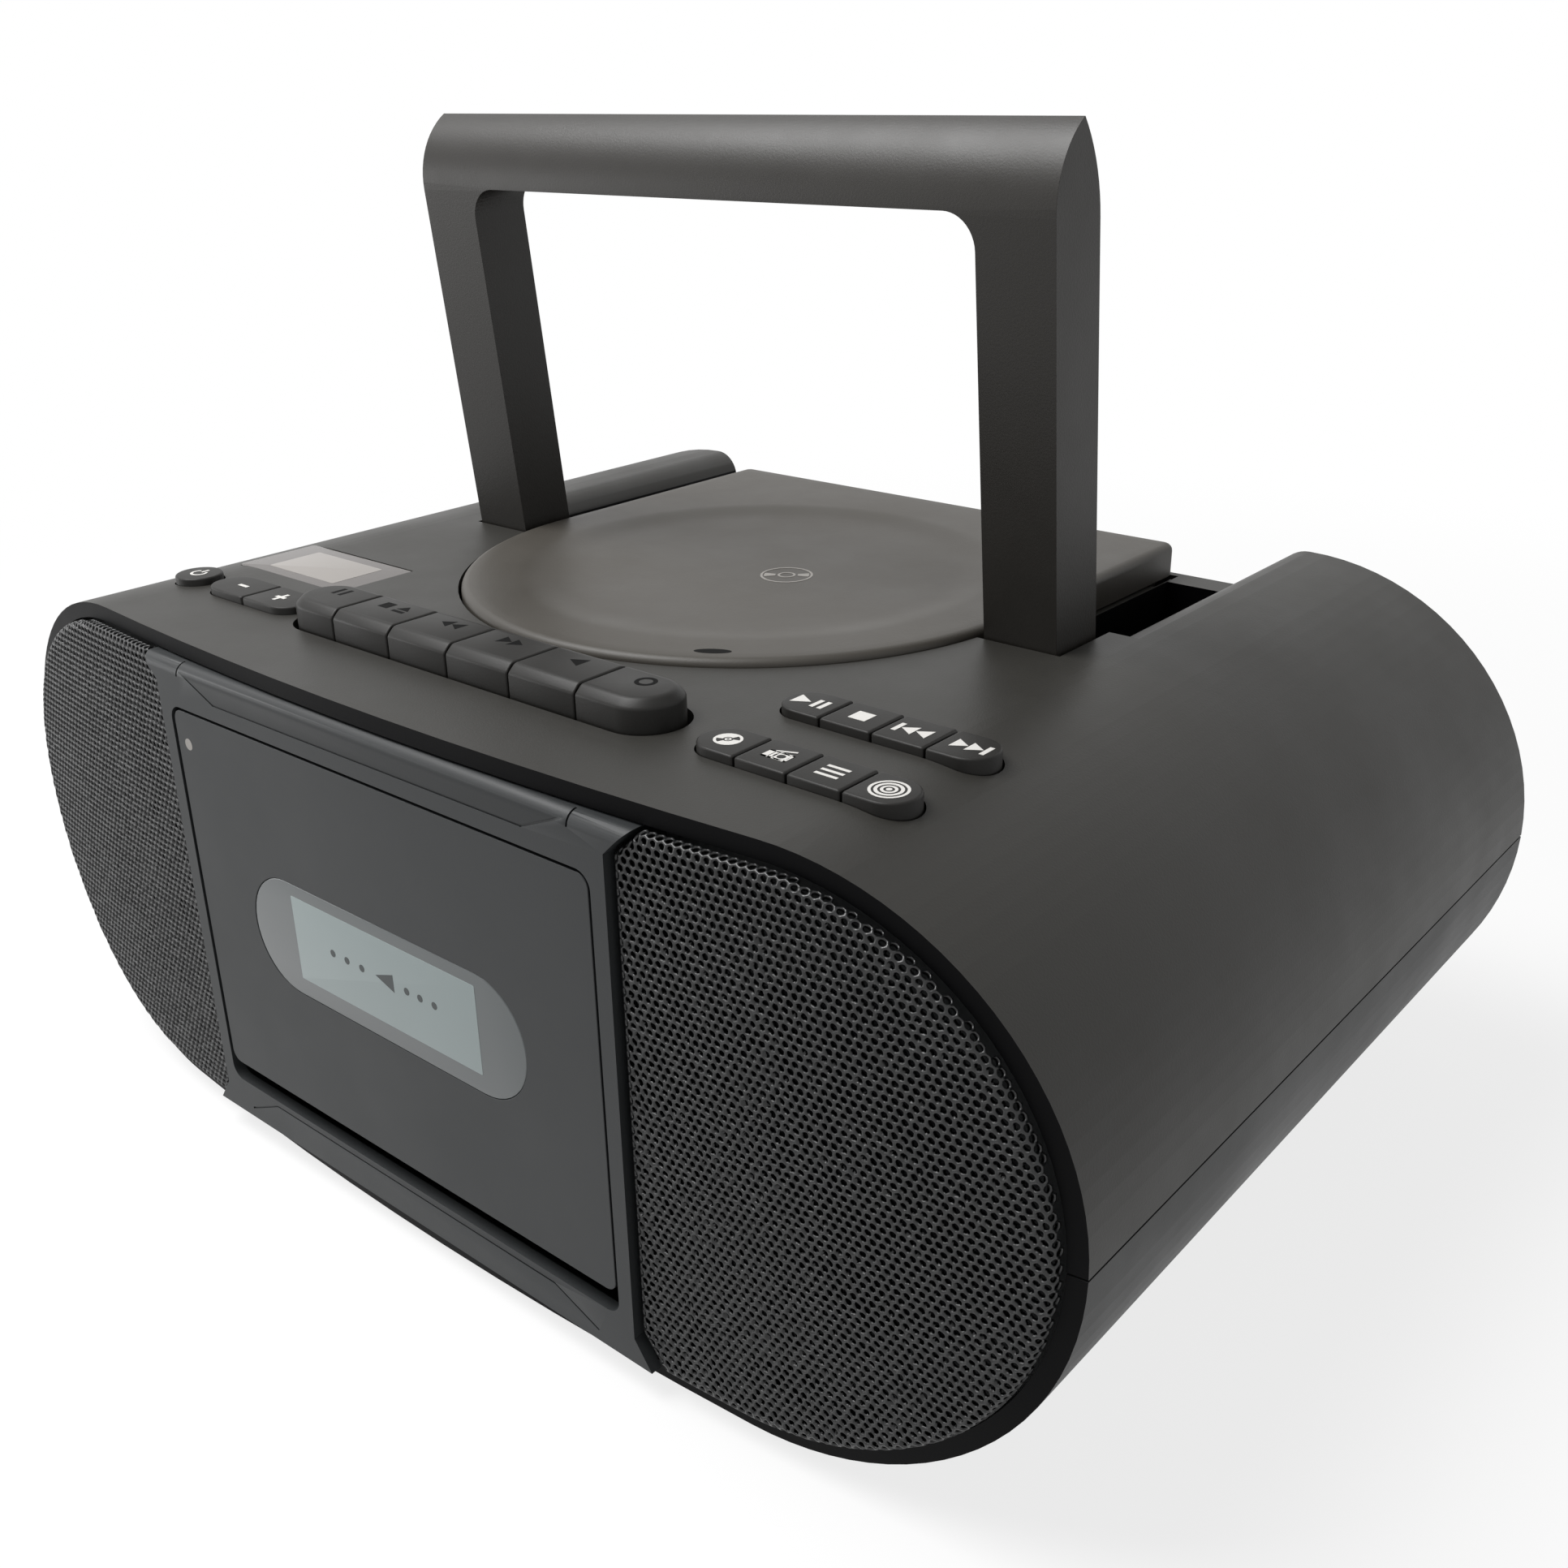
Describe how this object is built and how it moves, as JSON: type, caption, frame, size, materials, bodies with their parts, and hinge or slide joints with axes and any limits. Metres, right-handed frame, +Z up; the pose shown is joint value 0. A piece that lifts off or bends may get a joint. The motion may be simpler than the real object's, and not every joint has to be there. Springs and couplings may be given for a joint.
{
  "type": "boombox",
  "caption": "Portable radio, disc and cassette player with a round-ended case, two mesh grilles, a top-opening disc lid, piano keys and a fold-back handle.",
  "frame": {"origin": "centre of the footprint, on the floor under the feet", "axes": "+X to the right, +Y to the back, +Z up; the cassette door faces -Y"},
  "size_m": [0.35, 0.246, 0.2523],
  "materials": {
    "deck_plastic": "fine spark texture, satin",
    "case_plastic": "fine spark texture, satin",
    "button_plastic": "fine texture, satin",
    "inner_plastic": "moulded, plain",
    "white_plastic": "moulded, plain",
    "grille_metal": "punched steel sheet, powder coated",
    "plated_steel": "zinc plated",
    "chrome_tube": "drawn and plated",
    "brass_wheel": "turned",
    "black_rubber": "moulded",
    "circuit_board": "solder mask",
    "cone_paper": "pressed pulp",
    "smoked_lens": "moulded, polished",
    "display_lens": "moulded, polished",
    "display_glass": "liquid crystal cell"
  },
  "bodies": {
    "root": {"upper_cabinet": "deck_plastic", "lower_cabinet": "case_plastic", "front_panel": "case_plastic", "grille_left": "grille_metal", "grille_right": "grille_metal", "speaker_baskets": "plated_steel", "speaker_cones": "cone_paper", "speaker_magnets": "plated_steel", "cd_well": "inner_plastic", "cd_sled": "plated_steel", "pickup_rails": "plated_steel", "tape_chassis": "plated_steel", "drive_belt": "black_rubber", "motors": "plated_steel", "key_shaft": "plated_steel", "lcd_lens": "display_lens", "lcd_module": "display_glass", "button_boards": "circuit_board", "main_board": "circuit_board", "transformer": "plated_steel", "rear_sockets": "inner_plastic", "battery_contacts": "plated_steel", "pivot_pins": "plated_steel", "feet": "black_rubber", "screws": "plated_steel"},
    "cd_lid": {"cd_lid": "deck_plastic", "cd_clamp": "inner_plastic"},
    "cd_spindle": {"cd_spindle": "inner_plastic"},
    "optical_pickup": {"optical_pickup": "inner_plastic"},
    "cassette_door": {"cassette_door": "case_plastic", "cassette_window": "smoked_lens", "cassette_holder": "inner_plastic"},
    "reel_supply": {"reel_supply": "white_plastic"},
    "reel_takeup": {"reel_takeup": "white_plastic"},
    "flywheel": {"flywheel": "brass_wheel"},
    "head_plate": {"head_plate": "plated_steel"},
    "pinch_roller": {"pinch_roller": "black_rubber"},
    "battery_cover": {"battery_cover": "case_plastic"},
    "handle": {"handle": "case_plastic"},
    "antenna_base": {"antenna_base": "inner_plastic", "antenna_tube_outer": "chrome_tube"},
    "antenna_tube_inner": {"antenna_tube_inner": "chrome_tube"},
    "antenna_tip": {"antenna_tip": "chrome_tube"},
    "key_pause": {"key_pause": "button_plastic"},
    "key_stop": {"key_stop": "button_plastic"},
    "key_rewind": {"key_rewind": "button_plastic"},
    "key_forward": {"key_forward": "button_plastic"},
    "key_play": {"key_play": "button_plastic"},
    "key_record": {"key_record": "button_plastic"},
    "btn_disc_play": {"btn_disc_play": "button_plastic"},
    "btn_disc_stop": {"btn_disc_stop": "button_plastic"},
    "btn_previous": {"btn_previous": "button_plastic"},
    "btn_next": {"btn_next": "button_plastic"},
    "btn_disc": {"btn_disc": "button_plastic"},
    "btn_radio": {"btn_radio": "button_plastic"},
    "btn_program": {"btn_program": "button_plastic"},
    "btn_bass": {"btn_bass": "button_plastic"},
    "btn_power": {"btn_power": "button_plastic"},
    "btn_volume_down": {"btn_volume_down": "button_plastic"},
    "btn_volume_up": {"btn_volume_up": "button_plastic"}
  },
  "joints": [
    {"name": "handle_fold", "type": "hinge", "parent": "root", "child": "handle", "pos_m": [0, 0.0083, 0.128], "axis": [-1, 0, 0], "range_deg": [0, 86]},
    {"name": "cd_lid_hinge", "type": "hinge", "parent": "root", "child": "cd_lid", "pos_m": [0, 0.0895, 0.1355], "axis": [-1, 0, 0], "range_deg": [0, 36]},
    {"name": "cassette_door_hinge", "type": "hinge", "parent": "root", "child": "cassette_door", "pos_m": [0, -0.117, 0.027], "axis": [1, 0, 0], "range_deg": [0, 32]},
    {"name": "cd_spindle_turn", "type": "hinge", "parent": "root", "child": "cd_spindle", "pos_m": [0, 0.01, 0.122], "axis": [0, 0, 1], "continuous": true},
    {"name": "optical_pickup_slide", "type": "slide", "parent": "root", "child": "optical_pickup", "axis": [0, 1, 0], "range_m": [0, 0.033]},
    {"name": "reel_supply_turn", "type": "hinge", "parent": "root", "child": "reel_supply", "pos_m": [-0.02125, -0.103, 0.0683], "axis": [0, 1, 0], "continuous": true},
    {"name": "reel_takeup_turn", "type": "hinge", "parent": "root", "child": "reel_takeup", "pos_m": [0.02125, -0.103, 0.0683], "axis": [0, 1, 0], "continuous": true},
    {"name": "flywheel_turn", "type": "hinge", "parent": "root", "child": "flywheel", "pos_m": [0.036, -0.093, 0.0933], "axis": [0, 1, 0], "continuous": true},
    {"name": "key_pause_press", "type": "hinge", "parent": "root", "child": "key_pause", "pos_m": [0, -0.0735, 0.133], "axis": [1, 0, 0], "range_deg": [0, 7], "stiffness_Nm_per_rad": 0.2, "springref_deg": -5.73},
    {"name": "key_stop_press", "type": "hinge", "parent": "root", "child": "key_stop", "pos_m": [0, -0.0735, 0.133], "axis": [1, 0, 0], "range_deg": [0, 7], "stiffness_Nm_per_rad": 0.2, "springref_deg": -5.73},
    {"name": "key_rewind_press", "type": "hinge", "parent": "root", "child": "key_rewind", "pos_m": [0, -0.0735, 0.133], "axis": [1, 0, 0], "range_deg": [0, 7], "stiffness_Nm_per_rad": 0.2, "springref_deg": -5.73},
    {"name": "key_forward_press", "type": "hinge", "parent": "root", "child": "key_forward", "pos_m": [0, -0.0735, 0.133], "axis": [1, 0, 0], "range_deg": [0, 7], "stiffness_Nm_per_rad": 0.2, "springref_deg": -5.73},
    {"name": "key_play_press", "type": "hinge", "parent": "root", "child": "key_play", "pos_m": [0, -0.0735, 0.133], "axis": [1, 0, 0], "range_deg": [0, 7], "stiffness_Nm_per_rad": 0.2, "springref_deg": -5.73},
    {"name": "key_record_press", "type": "hinge", "parent": "root", "child": "key_record", "pos_m": [0, -0.0735, 0.133], "axis": [1, 0, 0], "range_deg": [0, 7], "stiffness_Nm_per_rad": 0.2, "springref_deg": -5.73},
    {"name": "head_plate_slide", "type": "slide", "parent": "root", "child": "head_plate", "axis": [0, 0, -1], "range_m": [0, 0.00495]},
    {"name": "pinch_roller_turn", "type": "hinge", "parent": "head_plate", "child": "pinch_roller", "pos_m": [0.036, -0.112, 0.1057], "axis": [0, 1, 0], "continuous": true},
    {"name": "btn_disc_play_press", "type": "slide", "parent": "root", "child": "btn_disc_play", "axis": [0, 0, -1], "range_m": [0, 0.001], "stiffness_N_per_m": 600, "springref_m": -0.0006},
    {"name": "btn_disc_stop_press", "type": "slide", "parent": "root", "child": "btn_disc_stop", "axis": [0, 0, -1], "range_m": [0, 0.001], "stiffness_N_per_m": 600, "springref_m": -0.0006},
    {"name": "btn_previous_press", "type": "slide", "parent": "root", "child": "btn_previous", "axis": [0, 0, -1], "range_m": [0, 0.001], "stiffness_N_per_m": 600, "springref_m": -0.0006},
    {"name": "btn_next_press", "type": "slide", "parent": "root", "child": "btn_next", "axis": [0, 0, -1], "range_m": [0, 0.001], "stiffness_N_per_m": 600, "springref_m": -0.0006},
    {"name": "btn_disc_press", "type": "slide", "parent": "root", "child": "btn_disc", "axis": [0, 0, -1], "range_m": [0, 0.001], "stiffness_N_per_m": 600, "springref_m": -0.0006},
    {"name": "btn_radio_press", "type": "slide", "parent": "root", "child": "btn_radio", "axis": [0, 0, -1], "range_m": [0, 0.001], "stiffness_N_per_m": 600, "springref_m": -0.0006},
    {"name": "btn_program_press", "type": "slide", "parent": "root", "child": "btn_program", "axis": [0, 0, -1], "range_m": [0, 0.001], "stiffness_N_per_m": 600, "springref_m": -0.0006},
    {"name": "btn_bass_press", "type": "slide", "parent": "root", "child": "btn_bass", "axis": [0, 0, -1], "range_m": [0, 0.001], "stiffness_N_per_m": 600, "springref_m": -0.0006},
    {"name": "btn_power_press", "type": "slide", "parent": "root", "child": "btn_power", "axis": [0, 0, -1], "range_m": [0, 0.001], "stiffness_N_per_m": 600, "springref_m": -0.0006},
    {"name": "btn_volume_down_press", "type": "slide", "parent": "root", "child": "btn_volume_down", "axis": [0, 0, -1], "range_m": [0, 0.001], "stiffness_N_per_m": 600, "springref_m": -0.0006},
    {"name": "btn_volume_up_press", "type": "slide", "parent": "root", "child": "btn_volume_up", "axis": [0, 0, -1], "range_m": [0, 0.001], "stiffness_N_per_m": 600, "springref_m": -0.0006},
    {"name": "battery_cover_tilt", "type": "hinge", "parent": "root", "child": "battery_cover", "pos_m": [0, 0.1138, 0.0103], "axis": [-1, 0, 0], "range_deg": [0, 60]},
    {"name": "antenna_tilt", "type": "hinge", "parent": "root", "child": "antenna_base", "pos_m": [0.128, 0.1194, 0.109], "axis": [0, 1, 0], "range_deg": [0, 90]},
    {"name": "antenna_extend_inner", "type": "slide", "parent": "antenna_base", "child": "antenna_tube_inner", "axis": [-1, 0, 0], "range_m": [0, 0.15]},
    {"name": "antenna_extend_tip", "type": "slide", "parent": "antenna_tube_inner", "child": "antenna_tip", "axis": [-1, 0, 0], "range_m": [0, 0.15]}
  ],
  "couplings": [
    {"joint": "key_play_press", "follows": "head_plate_slide", "rad_per_m": 24.68}
  ]
}
